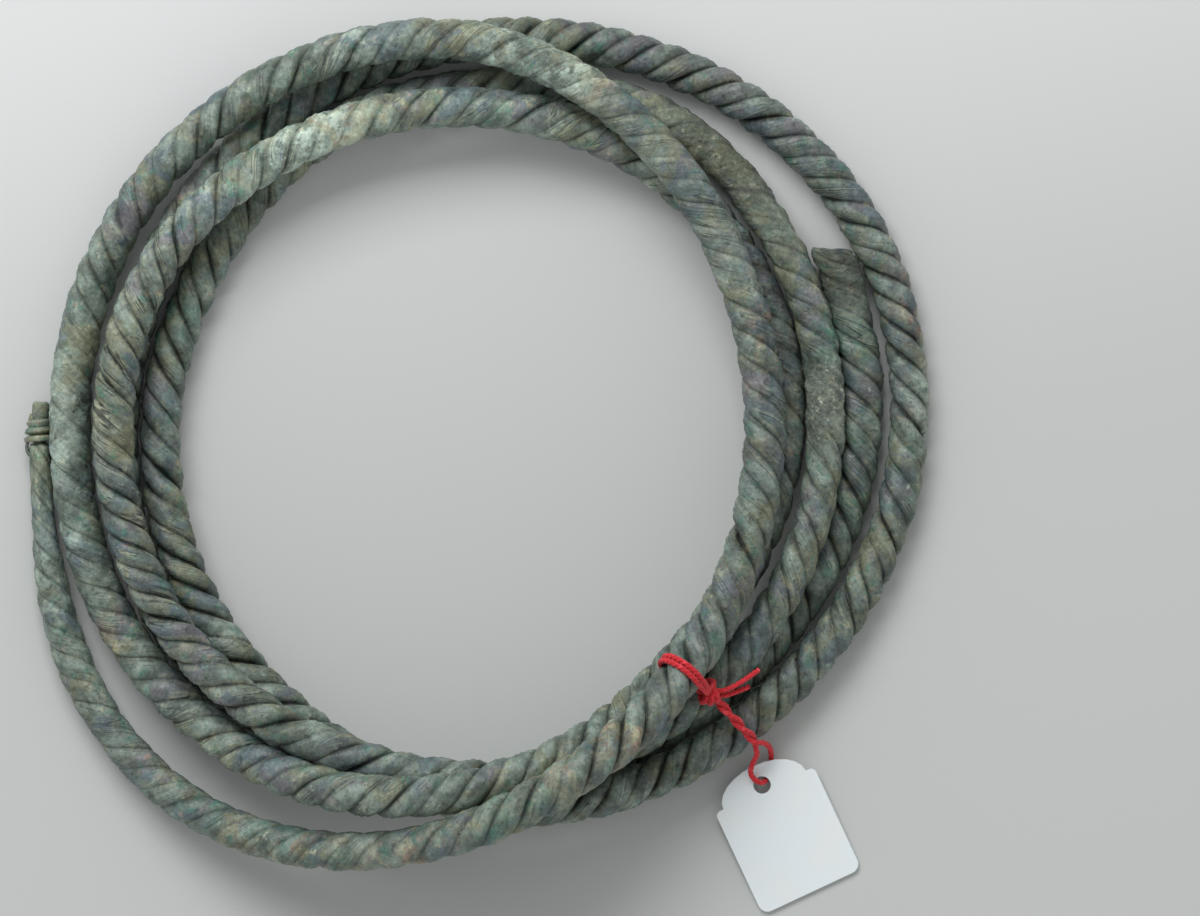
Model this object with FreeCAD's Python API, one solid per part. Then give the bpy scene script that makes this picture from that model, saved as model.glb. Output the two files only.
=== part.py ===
"""A neck ring: one bar coiled into four and a half turns, tied with thread to a card tag.

The bar starts in a thin pin with a wire binding, swells to its full thickness and ends blunt.
Every turn lies on or beside the turns below it. A thread goes round two of the turns, ends in a
knot with two tails, and runs on from the knot as a double lead through the hole of the tag.
All lengths are millimetres and +Z is up. The ring lies flat, with its coil axis along Z.
"""
import FreeCAD, Part
import math
import os

V = FreeCAD.Vector
UP = V(0, 0, 1)

# Coil: its radius, and that radius in bar diameters on a ring of usual proportions. Turns keep
# their distance from the middle turn, at middle_share of the radius, in bar diameters
coil_radius = 75.0
bar_diameter = 6.2
radius_in_bars = 12.1
middle_share = 0.83

# Where the bar goes: degrees round the ring, distance from its middle as a share of
# coil_radius, and height of the bar's centre line as a share of bar_diameter
COIL_SHARES = [
    (180.2, 0.957, 0.41),
    (195, 0.973, 0.42),
    (212, 1.013, 0.44),
    (230, 1.025, 0.85),
    (250, 0.966, 2.55),
    (270, 0.864, 4.24),
    (290, 0.770, 4.27),
    (310, 0.709, 3.22),
    (335, 0.667, 2.29),
    (360, 0.662, 1.78),
    (390, 0.700, 1.81),
    (420, 0.792, 2.11),
    (450, 0.893, 1.76),
    (480, 0.915, 1.32),
    (510, 0.911, 0.73),
    (540, 0.888, 0.87),
    (570, 0.879, 0.74),
    (588, 0.862, 1.42),
    (602, 0.843, 2.75),
    (614, 0.816, 3.72),
    (630, 0.774, 3.88),
    (655, 0.709, 2.68),
    (680, 0.673, 1.56),
    (705, 0.688, 0.92),
    (735, 0.727, 0.56),
    (765, 0.741, 0.74),
    (810, 0.747, 1.58),
    (840, 0.763, 1.73),
    (870, 0.794, 1.74),
    (900, 0.790, 1.73),
    (930, 0.777, 1.79),
    (957, 0.754, 2.58),
    (985, 0.750, 2.82),
    (1015, 0.758, 1.66),
    (1045, 0.774, 1.55),
    (1080, 0.799, 1.06),
    (1110, 0.828, 0.82),
    (1140, 0.843, 0.50),
    (1165, 0.797, 0.46),
    (1195, 0.758, 0.48),
    (1228, 0.699, 0.50),
    (1258, 0.688, 0.66),
    (1290, 0.696, 0.88),
    (1320, 0.727, 1.50),
    (1345, 0.790, 1.63),
    (1370, 0.843, 1.28),
    (1400, 0.893, 0.74),
    (1430, 0.964, 0.49),
    (1465, 1.007, 0.42),
    (1495, 0.969, 0.47),
    (1530, 0.895, 0.50),
    (1560, 0.841, 0.42),
    (1590, 0.798, 0.50),
    (1650, 0.784, 0.50),
    (1710, 0.779, 0.47),
    (1755, 0.794, 0.42),
    (1785, 0.848, 0.44),
    (1808, 0.889, 0.48),
    (1829.5, 0.919, 0.68),
]

# The bar's thin start: its diameter as a share of bar_diameter at each arc end of the first
# stretches, from the pin's shoulder to the full thickness
TAPER_SHARES = [0.55, 0.57, 0.75, 0.9, 1.0]
taper_stretches = 2

# The blunt end's slanted cut: its middle's distance from the tip, its slant and its tool's play
end_trim = 1.9
end_slant_deg = -21.0
cut_play = 0.1

# Pin in front of the thin start, with a small head
pin_diameter = 2.1
pin_length = 7.0
pin_head_diameter = 2.7
pin_head_length = 2.2
pin_head_edge = 0.4

# Wire binding round the pin
binding_wire = 0.95
binding_turns = 3
binding_pitch = 1.2
binding_clearance = 0.1
binding_offset = 0.9

# Thread: a double loop round the bar's first turn, a knot, two tails and a lead to the tag
thread_diameter = 0.8
thread_sides = 8
thread_gap = 0.2
strand_spacing = 1.0
loop_deg = 313.0
loop_corners = 6
knot_length = 4.4
knot_width = 2.6
knot_gap = 1.4
knot_lift = 0.3

# The turns that the knot lies on and that the lead goes over, in degrees along the coil
rest_deg = 1033.0
over_deg = 1393.0

# The tails, point by point from the knot's middle
TAIL_ROUTES = [
    [(-0.1, 0.9, 0.5), (2.9, 2.2, 0.7), (5.6, 3.2, -0.1), (8.0, 4.3, -1.3)],
    [(0.0, 0.6, -0.4), (2.8, 0.6, -0.5), (4.8, 0.8, -1.3), (6.5, 1.7, -1.8)],
]

# The lead, point by point: from the knot's middle, over the outer turn as shares of
# bar_diameter from its middle, from the hole's middle on the table, and back
LEAD_START = [(-0.4, -0.1, -0.3)]
OVER_SHARES = [
    (-0.39, 0.50, 1.15),
    (0.16, -0.11, 0.77),
    (0.58, -0.60, 0.26),
]
LEAD_TAG = [
    (-1.4, 4.0, 4.5),
    (-2.1, 2.3, 3.4),
    (-1.3, 0.8, 2.6),
    (0.0, -0.5, 1.4),
    (1.0, 0.8, 0.5),
    (1.5, 2.9, 0.5),
    (1.6, 5.2, 0.9),
]
BACK_SHARES = [
    (0.87, -0.44, -0.31),
    (0.71, -0.36, 0.19),
    (0.27, 0.06, 0.73),
    (-0.23, 0.61, 1.14),
]
LEAD_END = [(0.3, 0.5, -0.3)]

# Card tag: its far edge lies on the table and the thread under its hole lifts the other end
card_width = 18.3
card_length = 18.9
card_arch_height = 4.5
card_shoulder = 1.5
card_thickness = 0.45
card_corner = 1.6
card_lift = 0.1
card_tilt_deg = 3.3
card_turn_deg = 25.1
hole_diameter = 2.9
hole_offset = 0.95

# Where the hole lies: clear of the outer turn, and along that turn from the lead's crossing
hole_gap = 6.9
hole_shift = -2.2


def circle(diameter, centre, direction):
    """A closed round profile square to direction."""
    return Part.Wire(Part.makeCircle(diameter / 2, centre, direction))


def faceted(diameter, centre, direction):
    """A closed profile of thread_sides equal sides, square to direction."""
    ring = Part.makeCircle(diameter / 2, centre, direction)
    return Part.makePolygon(ring.discretize(thread_sides + 1))


def smooth(points):
    """The smooth curve through the points, and its parameter at each of them."""
    curve = Part.BSplineCurve()
    curve.interpolate(points)
    return curve, [curve.parameter(point) for point in points]


def heading(curve, parameter):
    """The direction in which a curve runs."""
    return curve.tangent(parameter)[0]


def arc_from(start, direction, end):
    """The arc that leaves start along direction and reaches end."""
    chord = end - start
    inward = chord - direction * chord.dot(direction)
    radius = chord.dot(chord) / (2 * inward.Length)
    inward.normalize()
    centre = start + inward * radius
    middle = (start - centre) + (end - centre)
    middle.normalize()
    return Part.Arc(start, centre + middle * radius, end).toShape()


def biarc(start, start_direction, end, end_direction):
    """Two arcs that join smoothly and keep the directions at both ends."""
    chord = end - start
    both = start_direction + end_direction
    bend = 2 * (1 - start_direction.dot(end_direction))
    reach = chord.dot(both)
    arm = (math.sqrt(reach ** 2 + bend * chord.dot(chord)) - reach) / bend
    joint = (start + start_direction * arm + end - end_direction * arm) / 2
    return [arc_from(start, start_direction, joint), arc_from(end, end_direction * -1, joint)]


def biarc_path(points, headings):
    """The arcs of a route through the points."""
    arcs = []
    for start, direction, end, end_direction in zip(points, headings, points[1:], headings[1:]):
        arcs += biarc(start, direction, end, end_direction)
    return arcs


def cord_path(points):
    """Straight runs joined by tangent arcs, and the arcs' radii."""
    edges = []
    radii = []
    last = points[0]
    for before, corner, after in zip(points, points[1:], points[2:]):
        back = before - corner
        ahead = after - corner
        half_turn = (math.pi - back.getAngle(ahead)) / 2
        arm = 0.45 * min(back.Length, ahead.Length)
        radii.append(arm / math.tan(half_turn))
        back.normalize()
        ahead.normalize()
        start = corner + back * arm
        end = corner + ahead * arm
        inward = back + ahead
        inward.normalize()
        depth = radii[-1] / math.cos(half_turn) - radii[-1]
        edges.append(Part.LineSegment(last, start).toShape())
        edges.append(Part.Arc(start, corner + inward * depth, end).toShape())
        last = end
    edges.append(Part.LineSegment(last, points[-1]).toShape())
    return edges, radii


def tube(edges, diameter, profile=circle):
    """A bar along a path of joined edges."""
    path = Part.Wire(edges)
    first = path.OrderedEdges[0]
    start = path.OrderedVertexes[0].Point
    shell = Part.BRepOffsetAPI.MakePipeShell(path)
    shell.add(profile(diameter, start, first.tangentAt(first.FirstParameter)))
    shell.build()
    shell.makeSolid()
    return shell.shape()


def coil_places():
    """The points of the bar's centre line."""
    points = []
    for degrees, reach_share, rise_share in COIL_SHARES:
        angle = math.radians(degrees)
        reach = middle_share * coil_radius + (reach_share - middle_share) * radius_in_bars * bar_diameter
        points.append(V(reach * math.cos(angle), reach * math.sin(angle), rise_share * bar_diameter))
    return points


def pin(shoulder, forward):
    """The thin pin and its head, in front of the bar's shoulder."""
    stem = Part.makeCylinder(pin_diameter / 2, pin_length - pin_head_length, shoulder, forward)
    seat = shoulder + forward * (pin_length - pin_head_length)
    head = Part.makeCylinder(pin_head_diameter / 2, pin_head_length, seat, forward)
    head = head.makeChamfer(pin_head_edge, [edge for edge in head.Edges if edge.Closed])
    return stem.fuse(head)


def taper(curve, first, last):
    """The bar's thin start, which swells to the full thickness between two parameters."""
    rounds = []
    for number, share in enumerate(TAPER_SHARES):
        parameter = first + (last - first) * number / (len(TAPER_SHARES) - 1)
        rounds.append(circle(share * bar_diameter, curve.value(parameter), heading(curve, parameter)))
    return Part.makeLoft(rounds, True)


def flattened(solid):
    """The solid without what would reach below the table."""
    box = solid.BoundBox
    corner = V(box.XMin, box.YMin, box.ZMin)
    return solid.cut(Part.makeBox(box.XLength, box.YLength, -box.ZMin, corner))


def without_tip(solid, tip, along):
    """The bar with its blunt end cut at a slant."""
    reach = bar_diameter / 2 + cut_play
    start = tip - along * bar_diameter
    core = Part.makeCylinder(reach, 2 * bar_diameter, start, along)
    box = Part.makeBox(2 * bar_diameter, 4 * reach, 4 * reach, V(0, -2 * reach, -2 * reach))
    turn = FreeCAD.Rotation(UP, end_slant_deg).multiply(FreeCAD.Rotation(V(1, 0, 0), along))
    box.Placement = FreeCAD.Placement(tip - along * end_trim, turn)
    return solid.cut(core.common(box))


def coil_bar(points, curve, parameters):
    """The whole bar: pin, thin start and full coil, flat where it rests."""
    start = taper_stretches
    headings = [heading(curve, parameter) for parameter in parameters]
    coil = tube(biarc_path(points[start:], headings[start:]), bar_diameter)
    coil = without_tip(coil, points[-1], headings[-1])
    thin = taper(curve, parameters[0], parameters[start])
    return flattened(coil.fuse(thin).fuse(pin(points[0], headings[0] * -1)))


def end_binding(shoulder, forward):
    """Three turns of wire round the pin."""
    radius = (pin_diameter + binding_wire) / 2 + binding_clearance
    out = UP.cross(forward)
    base = shoulder + forward * binding_offset
    points = []
    headings = []
    quarter = binding_pitch / 4
    for number in range(4 * binding_turns + 1):
        angle = number * math.pi / 2
        away = out * math.cos(angle) + UP * math.sin(angle)
        round_way = UP * math.cos(angle) - out * math.sin(angle)
        step = round_way * (2 * math.pi * radius) + forward * binding_pitch
        step.normalize()
        points.append(base + away * radius + forward * (quarter * number))
        headings.append(step)
    return tube(biarc_path(points, headings), binding_wire, faceted)


def bar_place(curve, parameters, place_deg):
    """The bar's middle at some degrees along the coil, its direction and the way outwards."""
    degrees = [row[0] for row in COIL_SHARES]
    after = next(number for number, value in enumerate(degrees) if value > place_deg)
    before = after - 1
    share = (place_deg - degrees[before]) / (degrees[after] - degrees[before])
    parameter = parameters[before] + share * (parameters[after] - parameters[before])
    along = heading(curve, parameter)
    outward = along.cross(UP)
    outward.normalize()
    return curve.value(parameter), along, outward


def route(anchor, table, unit=1.0):
    """The points of a table of places, from an anchor and in a unit of length."""
    return [anchor + V(*row) * unit for row in table]


def loop_strand(middle, along, knot, shift):
    """One thread of the loop, from the knot round the bar and back, and its radii."""
    centre = middle + along * shift
    goal = knot + along * shift
    toward = goal - centre
    toward = toward - along * toward.dot(along)
    toward.normalize()
    aside = along.cross(toward)
    clear = (bar_diameter + thread_diameter) / 2 + thread_gap
    reach = clear / math.cos(math.pi / loop_corners)
    points = [goal]
    for number in range(1, loop_corners):
        angle = 2 * math.pi * number / loop_corners
        points.append(centre + (toward * math.cos(angle) + aside * math.sin(angle)) * reach)
    points.append(goal)
    return cord_path(points)


def knot_body(centre, along):
    """An egg-shaped lump, longer the way the bar runs."""
    ball = Part.makeSphere(knot_width / 2)
    stretch = FreeCAD.Matrix()
    stretch.scale(knot_length / knot_width, 1, 1)
    egg = ball.transformGeometry(stretch)
    egg.Placement = FreeCAD.Placement(centre, FreeCAD.Rotation(V(1, 0, 0), along))
    return egg


def card(hole):
    """The card tag, from its hole's middle with its arch towards +Y, then laid in place."""
    side = card_width / 2
    top = -hole_offset
    foot = top - card_length
    arch = side - card_shoulder
    nook = card_corner * (1 - math.cos(math.pi / 4))
    corners = [V(side, top), V(side, foot + card_corner), V(side - card_corner, foot),
               V(card_corner - side, foot), V(-side, foot + card_corner), V(-side, top), V(-arch, top)]
    edges = [
        Part.LineSegment(corners[0], corners[1]).toShape(),
        Part.Arc(corners[1], V(side - nook, foot + nook), corners[2]).toShape(),
        Part.LineSegment(corners[2], corners[3]).toShape(),
        Part.Arc(corners[3], V(nook - side, foot + nook), corners[4]).toShape(),
        Part.LineSegment(corners[4], corners[5]).toShape(),
        Part.LineSegment(corners[5], corners[6]).toShape(),
        Part.Arc(corners[6], V(0, top + card_arch_height), V(arch, top)).toShape(),
        Part.LineSegment(V(arch, top), corners[0]).toShape(),
    ]
    sheet = Part.Face(Part.Wire(edges)).extrude(V(0, 0, card_thickness))
    sheet = sheet.cut(Part.makeCylinder(hole_diameter / 2, card_thickness))
    rise = card_lift - foot * math.sin(math.radians(card_tilt_deg))
    tilt = FreeCAD.Placement(V(0, 0, rise), FreeCAD.Rotation(V(1, 0, 0), card_tilt_deg))
    turn = FreeCAD.Placement(hole, FreeCAD.Rotation(UP, card_turn_deg))
    sheet.Placement = turn.multiply(tilt)
    return sheet


def least_gap(curve, first, last):
    """The least clear distance between two turns, measured on points of the centre line."""
    count = 1200
    middles = [curve.value(first + (last - first) * number / count) for number in range(count + 1)]
    skip = int(math.pi * coil_radius / (curve.length() / count))
    nearest = coil_radius
    for number, middle in enumerate(middles):
        for other in middles[number + skip:]:
            distance = middle.distanceToPoint(other)
            if distance < nearest:
                nearest = distance
    return nearest - bar_diameter


def build():
    """Every piece of the ring, by name."""
    points = coil_places()
    curve, parameters = smooth(points)
    bar = coil_bar(points, curve, parameters)
    forward = heading(curve, parameters[0]) * -1
    binding = end_binding(points[0], forward)
    print("least gap between turns", round(least_gap(curve, parameters[taper_stretches], parameters[-1]), 2))
    print("least gap between the binding's turns", round(binding_pitch - binding_wire, 2))

    middle, along, outward = bar_place(curve, parameters, loop_deg)
    beneath = bar_place(curve, parameters, rest_deg)[0]
    knot = middle + outward * ((bar_diameter + knot_width) / 2 + knot_gap)
    knot.z = beneath.z + (bar_diameter + knot_width) / 2 + knot_lift
    crossed, crossed_along, crossed_outward = bar_place(curve, parameters, over_deg)
    hole = crossed + crossed_outward * (bar_diameter / 2 + hole_gap) + crossed_along * hole_shift
    hole.z = 0
    strands = []
    radii = []
    for side in (-1, 1):
        path, bends = loop_strand(middle, along, knot, side * strand_spacing / 2)
        strands.append(tube(path, thread_diameter, faceted))
        radii += bends
    tails = []
    for table in TAIL_ROUTES:
        path, bends = cord_path(route(knot, table))
        tails.append(tube(path, thread_diameter, faceted))
        radii += bends
    lead_points = (route(knot, LEAD_START) + route(crossed, OVER_SHARES, bar_diameter)
                   + route(hole, LEAD_TAG) + route(crossed, BACK_SHARES, bar_diameter)
                   + route(knot, LEAD_END))
    path, bends = cord_path(lead_points)
    lead = tube(path, thread_diameter, faceted)
    print("radii of the loop and tails", [round(radius, 2) for radius in radii])
    print("radii of the lead", [round(radius, 2) for radius in bends])
    print("lead", round(Part.Wire(path).Length, 1), "long")

    lump = knot_body(knot, along)
    pieces = {
        "ring_bar": bar,
        "end_binding": binding,
        "thread_loop": Part.makeCompound([strand.cut(lump) for strand in strands]),
        "thread_knot": lump,
        "thread_tails": Part.makeCompound([tail.cut(lump) for tail in tails]),
        "tag_thread": lead.cut(lump),
        "tag_card": card(hole),
    }
    return pieces


def main():
    """Set the ring's middle on the origin and write each piece."""
    pieces = build()
    ring = Part.makeCompound([pieces["ring_bar"], pieces["end_binding"], pieces["thread_loop"],
                              pieces["thread_knot"], pieces["thread_tails"]])
    box = ring.optimalBoundingBox(False)
    shift = V(-(box.XMin + box.XMax) / 2, -(box.YMin + box.YMax) / 2, 0)
    os.makedirs("parts", exist_ok=True)
    print("moved by", shift)
    for name, shape in pieces.items():
        placed = shape.translated(shift)
        print(name, placed.isValid(), len(placed.Solids), round(placed.Volume, 1))
        placed.exportStep("parts/" + name + ".step")


main()
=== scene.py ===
"""The neck ring as it looks: its twisted bar, wire binding, thread and card tag on a pale table.

Lengths are metres. The bar is modelled straight, as a rod that turns left-handed about its own
length, then bent along the same route as its solid. The threads are made in the same way.
"""
import math

import bpy
import numpy as np
from mathutils import Matrix, Vector, noise


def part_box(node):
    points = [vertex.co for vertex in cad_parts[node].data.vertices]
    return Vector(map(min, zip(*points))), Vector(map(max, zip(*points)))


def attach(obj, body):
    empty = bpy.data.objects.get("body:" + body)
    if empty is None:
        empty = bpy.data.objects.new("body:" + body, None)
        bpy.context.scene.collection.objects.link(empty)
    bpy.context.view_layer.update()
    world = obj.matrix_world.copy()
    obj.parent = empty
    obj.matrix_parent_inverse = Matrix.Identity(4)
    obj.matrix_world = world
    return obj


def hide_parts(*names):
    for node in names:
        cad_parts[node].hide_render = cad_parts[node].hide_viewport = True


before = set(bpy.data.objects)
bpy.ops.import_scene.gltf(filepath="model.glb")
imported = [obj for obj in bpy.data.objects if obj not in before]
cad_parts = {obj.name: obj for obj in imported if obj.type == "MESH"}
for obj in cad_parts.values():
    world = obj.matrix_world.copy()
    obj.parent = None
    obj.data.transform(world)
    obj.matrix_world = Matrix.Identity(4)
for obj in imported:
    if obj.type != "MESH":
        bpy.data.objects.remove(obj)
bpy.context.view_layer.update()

# Coil: its radius, and that radius in bar diameters on a ring of usual proportions. Turns keep
# their distance in bar diameters from the middle turn, at middle_share of the radius
coil_radius = 0.075
bar_diameter = 0.0062
radius_in_bars = 12.1
middle_share = 0.83
coil_middle = Vector((-0.0016451, 0.0003109, 0))
UP = Vector((0, 0, 1))

# Where the bar goes: degrees round the ring, distance from its middle as a share of
# coil_radius, and height of the bar's centre line as a share of bar_diameter
COIL_SHARES = [
    (180.2, 0.957, 0.41), (195, 0.973, 0.42), (212, 1.013, 0.44), (230, 1.025, 0.85),
    (250, 0.966, 2.55), (270, 0.864, 4.24), (290, 0.770, 4.27), (310, 0.709, 3.22),
    (335, 0.667, 2.29), (360, 0.662, 1.78), (390, 0.700, 1.81), (420, 0.792, 2.11),
    (450, 0.893, 1.76), (480, 0.915, 1.32), (510, 0.911, 0.73), (540, 0.888, 0.87),
    (570, 0.879, 0.74), (588, 0.862, 1.42), (602, 0.843, 2.75), (614, 0.816, 3.72),
    (630, 0.774, 3.88), (655, 0.709, 2.68), (680, 0.673, 1.56), (705, 0.688, 0.92),
    (735, 0.727, 0.56), (765, 0.741, 0.74), (810, 0.747, 1.58), (840, 0.763, 1.73),
    (870, 0.794, 1.74), (900, 0.790, 1.73), (930, 0.777, 1.79), (957, 0.754, 2.58),
    (985, 0.750, 2.82), (1015, 0.758, 1.66), (1045, 0.774, 1.55), (1080, 0.799, 1.06),
    (1110, 0.828, 0.82), (1140, 0.843, 0.50), (1165, 0.797, 0.46), (1195, 0.758, 0.48),
    (1228, 0.699, 0.50), (1258, 0.688, 0.66), (1290, 0.696, 0.88), (1320, 0.727, 1.50),
    (1345, 0.790, 1.63), (1370, 0.843, 1.28), (1400, 0.893, 0.74), (1430, 0.964, 0.49),
    (1465, 1.007, 0.42), (1495, 0.969, 0.47), (1530, 0.895, 0.50), (1560, 0.841, 0.42),
    (1590, 0.798, 0.50), (1650, 0.784, 0.50), (1710, 0.779, 0.47), (1755, 0.794, 0.42),
    (1785, 0.848, 0.44), (1808, 0.889, 0.48), (1829.5, 0.926, 0.68),
]

# How thick the bar is, and how deep its grooves are, by degrees along the coil: shares of
# bar_diameter and of groove_depth
THICKNESS_SHARES = [
    (180, 0.56), (190, 0.58), (196, 0.77), (201, 0.88), (208, 0.97), (218, 0.93), (230, 1.02),
    (250, 1.00), (262, 0.98), (275, 1.10), (300, 1.13), (320, 1.14), (340, 1.12), (360, 1.09),
    (390, 1.05), (420, 1.03), (500, 1.05), (540, 1.09), (620, 1.09), (660, 1.02), (720, 1.02),
    (800, 1.05), (860, 1.07), (900, 1.08), (960, 1.07), (1000, 1.02), (1080, 0.97), (1130, 0.98),
    (1170, 1.01), (1260, 1.06), (1380, 1.06), (1430, 1.02), (1450, 1.01), (1480, 1.09),
    (1510, 1.06), (1600, 1.03), (1780, 1.07), (1812, 1.10), (1830, 1.06),
]
GROOVE_SHARES = [
    (180, 0.5), (200, 0.5), (215, 0.4), (240, 0.45), (262, 0.6), (290, 0.8), (310, 1.0),
    (340, 1.0), (360, 0.62), (395, 0.42), (430, 0.42), (455, 0.55), (475, 0.75), (520, 0.6),
    (535, 0.42), (560, 0.5), (620, 0.75), (700, 0.8), (738, 0.6), (770, 0.8), (810, 0.7),
    (860, 0.8), (960, 0.9), (1060, 0.8), (1078, 0.7), (1083, 0.25), (1092, 0.25), (1098, 0.7),
    (1108, 0.5), (1114, 0.3), (1142, 0.3), (1160, 0.8), (1240, 0.95), (1800, 0.9), (1819, 0.4),
]
# How rough the corrosion has left the bar, and how strongly thin folds show, by degrees
ROUGH_SHARES = [
    (180, 0.5), (240, 0.4), (300, 0.25), (360, 0.4), (430, 0.6), (470, 0.5), (530, 0.7),
    (560, 0.5), (640, 0.4), (700, 0.6), (738, 1.2), (775, 0.6), (820, 0.6), (870, 0.5),
    (1030, 0.5), (1078, 0.9), (1084, 2.6), (1091, 2.6), (1098, 1.0), (1110, 1.2), (1116, 2.0),
    (1142, 2.0), (1155, 1.0), (1190, 0.8), (1310, 0.8), (1440, 0.7), (1530, 0.5), (1800, 0.6),
    (1817, 1.0), (1822, 2.0),
]
FOLD_SHARES = [
    (180, 0.3), (215, 0.35), (300, 0.3), (340, 0.5), (420, 0.5), (480, 0.5), (520, 0.3),
    (560, 0.3), (590, 0.7), (640, 0.4), (840, 0.5), (880, 1.1), (925, 1.1), (960, 0.4),
    (1080, 0.4), (1150, 0.5), (1260, 0.4), (1800, 0.4), (1818, 1.0),
]
# How light the patina is, by degrees: shares of its usual tone
LIGHT_SHARES = [
    (180, 1.10), (205, 1.00), (230, 0.96), (262, 1.00), (300, 0.88), (345, 0.82), (390, 0.90),
    (430, 1.08), (470, 1.02), (530, 1.00), (560, 1.02), (600, 0.92), (650, 0.85), (790, 0.95),
    (812, 1.15), (850, 1.38), (868, 1.05), (900, 0.95), (930, 0.86), (985, 0.82), (1060, 0.86),
    (1080, 1.0), (1087, 1.35), (1094, 0.95), (1120, 0.92), (1200, 0.98), (1300, 0.84),
    (1395, 0.84), (1450, 0.92), (1500, 0.88), (1600, 0.86), (1700, 0.78), (1800, 0.80),
    (1816, 0.80), (1822, 0.68),
]

# Twist: three ridges that turn left-handed once every twist_lead, and wander a little
ridges = 3
twist_lead = 0.015
twist_wander = math.radians(12)
wander_size = 0.024
crest_share = 1.08
groove_depth = 0.00100
ring_step = 0.00056
# How much the grooves' depth changes in places, how much their dirt and painted shade do, and how far
# apart
groove_swell = 1.1
dirt_and_shade_swell = 0.8
swell_size = 0.0075
# Corrosion: dents and pits as shares of the bar's radius, and how far apart they are
dent_share = 0.030
dent_size = 0.0045
pit_share = 0.070
pit_size = 0.0021
# Fine corrosion on the bar, the pin and the wire: its height and its grain
BAR_GRAIN = (0.00020, 0.0016)
PIN_GRAIN = (0.00016, 0.0012)
WIRE_GRAIN = (0.00014, 0.0010)
# One ridge from groove to groove: place as a share of its width, depth as a share of groove_depth
RIDGE_SHARES = [
    (0.00, 1.00), (0.035, 0.80), (0.09, 0.57), (0.17, 0.34), (0.29, 0.12),
    (0.50, 0.00), (0.71, 0.12), (0.83, 0.34), (0.91, 0.57), (0.965, 0.80),
]
# Pale lips beside the grooves: place and width as shares of a ridge's width
lip_place = 0.13
lip_width = 0.05
# How far apart the ridges are, by degrees along the coil: shares of the usual spacing
SPACING_SHARES = [
    (180, 0.86), (225, 0.92), (262, 1.14), (289, 1.24), (318, 1.12), (350, 1.06), (385, 1.00),
    (416, 0.95), (442, 0.95), (480, 1.03), (518, 0.98), (569, 0.94), (594, 1.02), (640, 1.06),
    (700, 1.00), (836, 1.03), (865, 0.97), (890, 0.86), (918, 0.88), (940, 1.08), (985, 1.09),
    (1042, 1.12), (1100, 1.06), (1183, 1.16), (1246, 1.05), (1312, 1.00), (1370, 0.96),
    (1514, 0.97), (1566, 1.10), (1600, 1.06), (1660, 1.03), (1711, 0.93), (1769, 0.94),
    (1800, 1.00),
]

# The bar's first ring, drawn in where the pin starts
first_share = 0.8
# The broken end: the rings that it reshapes, how far back it lies, its slant, the size of its
# last rings, and how far the first of those is drawn to the second
end_rings = 14
end_trim = 0.0019
end_slant = math.radians(-21)
END_SHARES = [1.00, 0.97, 0.84]
rim_pull = 0.55
# Its notch, with place and width as shares of the bar's radius, and its crumbling
notch_depth = 0.0006
notch_place = -0.15
notch_width = 0.22
crumble_depth = 0.00035
crumble_size = 0.0011

# Patches of other tones on the bar, by tone: degrees along the coil, how far each reaches in
# degrees, strength, and side: 1 faces out of the ring, -1 into it, 0 is all round
PATCHES = {
    "olive": [
        (183, 4, 0.9, 0), (281, 9, 0.6, 0), (336, 10, 0.6, 1), (424, 7, 0.8, 0), (897, 7, 0.8, 0),
        (1107, 7, 1.0, 0), (1128, 16, 0.9, 0), (1270, 10, 0.8, 0),
    ],
    "slate": [
        (192, 3, 0.8, 0), (226, 8, 0.7, 0), (320, 16, 0.6, 0), (364, 9, 0.9, 0), (404, 11, 0.9, 0),
        (500, 10, 0.4, 0), (556, 3, 0.6, 0), (590, 12, 0.5, 0), (738, 22, 1.0, 0),
        (858, 10, 0.6, 0), (891, 3, 0.7, -1), (912, 9, 0.9, 0), (932, 12, 0.6, 0),
        (1257, 6, 0.6, 0), (1470, 10, 0.5, 0), (1492, 20, 0.8, 0), (1808, 4, 0.6, 0),
    ],
    "pale": [
        (197, 3, 0.6, 0), (435, 5, 0.9, 0), (446, 3, 0.8, 0), (465, 4, 0.6, 0), (538, 8, 1.0, 1),
        (553, 2, 0.8, 1), (838, 9, 0.9, 0), (1087, 5, 0.8, 0), (1444, 5, 0.9, 1),
    ],
    "rust": [
        (246, 6, 0.7, 0), (262, 5, 0.7, 0), (288, 5, 0.7, 0), (297, 5, 0.7, 0), (381, 9, 1.0, 1),
        (430, 3, 0.5, 0), (568, 4, 0.7, 0), (832, 7, 0.6, 0), (1447, 6, 0.8, 1), (1457, 7, 1.0, 1),
    ],
    "teal": [
        (240, 14, 0.6, 0), (275, 12, 0.5, 0), (551, 6, 0.6, -1), (1095, 4, 0.9, 0),
        (1230, 12, 0.6, 0), (1262, 14, 0.6, -1), (1795, 10, 0.5, 0), (1814, 4, 0.8, 0),
    ],
    "crust": [
        (1087, 6, 1.0, 0), (1128, 13, 0.45, 0), (1825, 5, 0.45, 0),
    ],
    # The darker tone: at 535 and 546 degrees, on the turns' inner side, it is painted shade; at 745
    # and 1094 degrees it darkens the tone
    "dark": [
        (535, 3, 1.0, -1), (546, 4, 0.8, -1), (745, 14, 0.5, 0), (1094, 3, 0.6, -1),
    ],
}
# What the bar's vertices tell its material
MARKS = ("light", "groove", "edge", "fold", *PATCHES)
# How quickly a patch on one side of the bar fades towards its other side
side_fade = 0.9

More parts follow.
